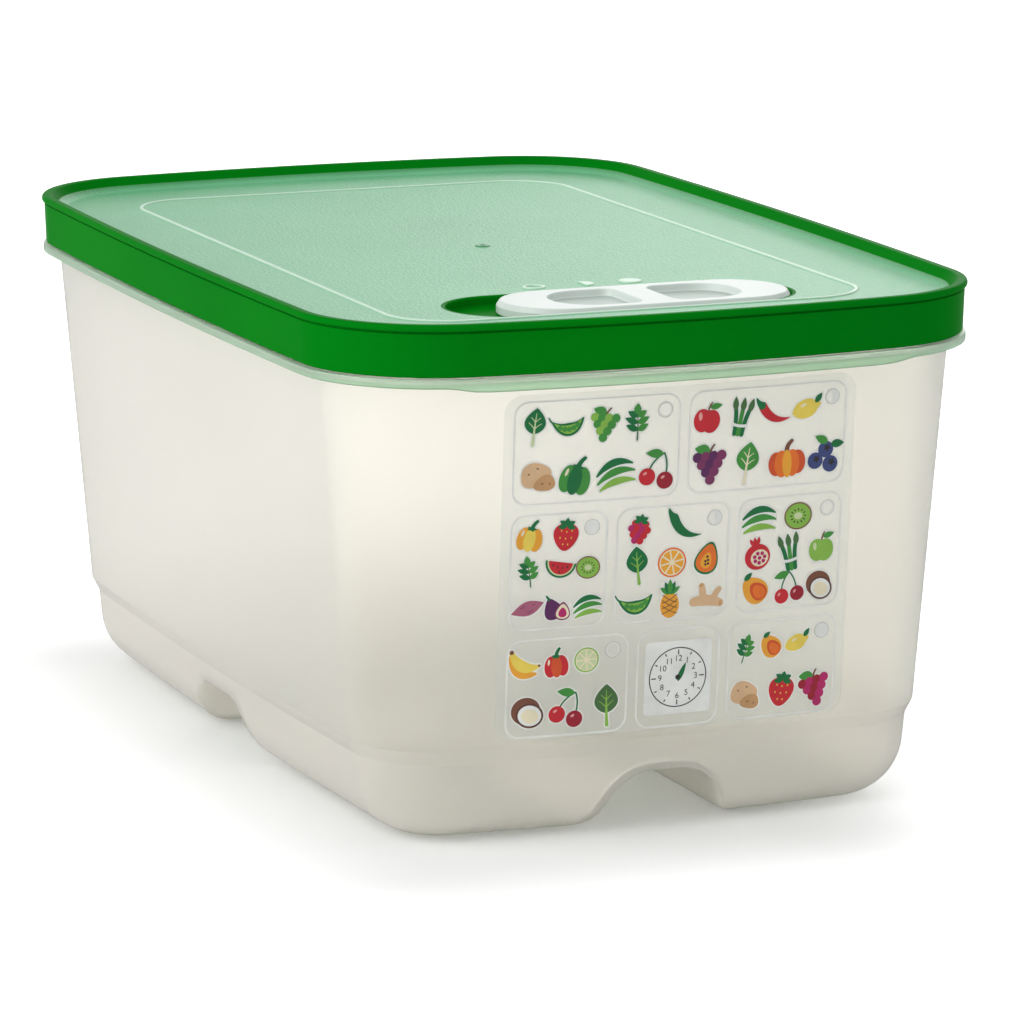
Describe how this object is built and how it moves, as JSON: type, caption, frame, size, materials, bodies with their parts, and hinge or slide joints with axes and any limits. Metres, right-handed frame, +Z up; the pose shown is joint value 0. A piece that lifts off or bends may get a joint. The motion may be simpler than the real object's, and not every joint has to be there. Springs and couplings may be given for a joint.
{
  "type": "produce storage bin",
  "caption": "Translucent food storage bin on four feet, with a press-on lid, a sliding air vent in the lid and a printed storage chart on the front.",
  "frame": {"origin": "centre of the footprint, on the plane of the feet", "axes": "+Z up, -Y towards the short side that carries the printed chart, +X to the right when facing the chart, along the vent"},
  "size_m": [0.192, 0.297, 0.141],
  "materials": {
    "container": "frosted translucent polypropylene",
    "lid": "translucent green polyethylene, glossy band, fine-grained panel",
    "vent_slider": "milky white polypropylene",
    "storage_chart": "clear printed film"
  },
  "bodies": {
    "container": {"container": "container", "storage_chart": "storage_chart"},
    "lid": {"lid": "lid"},
    "vent_slider": {"vent_slider": "vent_slider"}
  },
  "joints": [
    {"name": "lid_lift", "type": "slide", "parent": "container", "child": "lid", "axis": [0, 0, 1], "range_m": [0, 0.08]},
    {"name": "vent_slide", "type": "slide", "parent": "lid", "child": "vent_slider", "axis": [-1, 0, 0], "range_m": [0, 0.014]}
  ]
}
